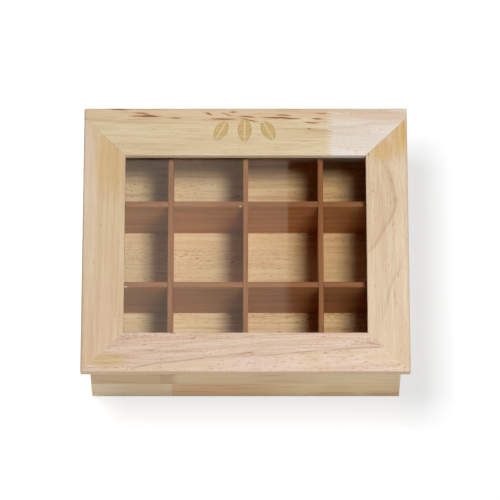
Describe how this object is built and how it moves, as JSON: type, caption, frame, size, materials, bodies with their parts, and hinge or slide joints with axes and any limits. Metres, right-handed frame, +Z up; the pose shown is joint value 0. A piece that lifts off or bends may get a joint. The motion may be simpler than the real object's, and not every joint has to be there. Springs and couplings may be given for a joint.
{
  "type": "tea bag organizer box",
  "caption": "Wooden box with a grid of open compartments and a hinged mitred-frame lid with a clear window, for wrapped tea bags.",
  "frame": {"origin": "middle of the closed object's footprint, on the surface that the box stands on", "axes": "+Z up, -Y towards the front of the box, +X to the right as seen from the front; the hinges are at +Y"},
  "size_m": [0.33, 0.292, 0.088],
  "materials": {
    "lid_wood": "pale close-grained hardwood, sanded smooth, with a thin satin lacquer",
    "wall_wood": "pale hardwood boards edge-glued from strips, thin satin lacquer",
    "divider_wood": "reddish-brown hardwood, oiled, with fine grain along the board",
    "floor_wood": "thin pale wood panel, sanded, unlacquered",
    "tongue_wood": "plywood tongue, glued in and hidden",
    "clear_pane": "clear polished acrylic sheet",
    "hinge_brass": "pressed brass, lightly polished",
    "screw_brass": "turned brass screw, slotted head",
    "brad_steel": "dull steel brad, driven just below the surface"
  },
  "bodies": {
    "box": {"front_wall": "wall_wood", "rear_wall": "wall_wood", "left_wall": "wall_wood", "right_wall": "wall_wood", "bottom_panel": "floor_wood", "long_divider_left": "divider_wood", "long_divider_middle": "divider_wood", "long_divider_right": "divider_wood", "cross_divider_front": "divider_wood", "cross_divider_rear": "divider_wood", "wall_brads": "brad_steel", "left_hinge_box_leaf": "hinge_brass", "right_hinge_box_leaf": "hinge_brass", "left_hinge_pin": "hinge_brass", "right_hinge_pin": "hinge_brass", "box_hinge_screws": "screw_brass"},
    "lid": {"lid_front_rail": "lid_wood", "lid_rear_rail": "lid_wood", "lid_rear_rail_end": "lid_wood", "lid_left_stile": "lid_wood", "lid_right_stile": "lid_wood", "lid_mitre_tongues": "tongue_wood", "window_pane": "clear_pane", "left_hinge_lid_leaf": "hinge_brass", "right_hinge_lid_leaf": "hinge_brass", "lid_hinge_screws": "screw_brass"}
  },
  "joints": [
    {"name": "lid_hinge", "type": "hinge", "parent": "box", "child": "lid", "pos_m": [0, 0.139, 0.079], "axis": [-1, 0, 0], "range_deg": [0, 107]}
  ]
}
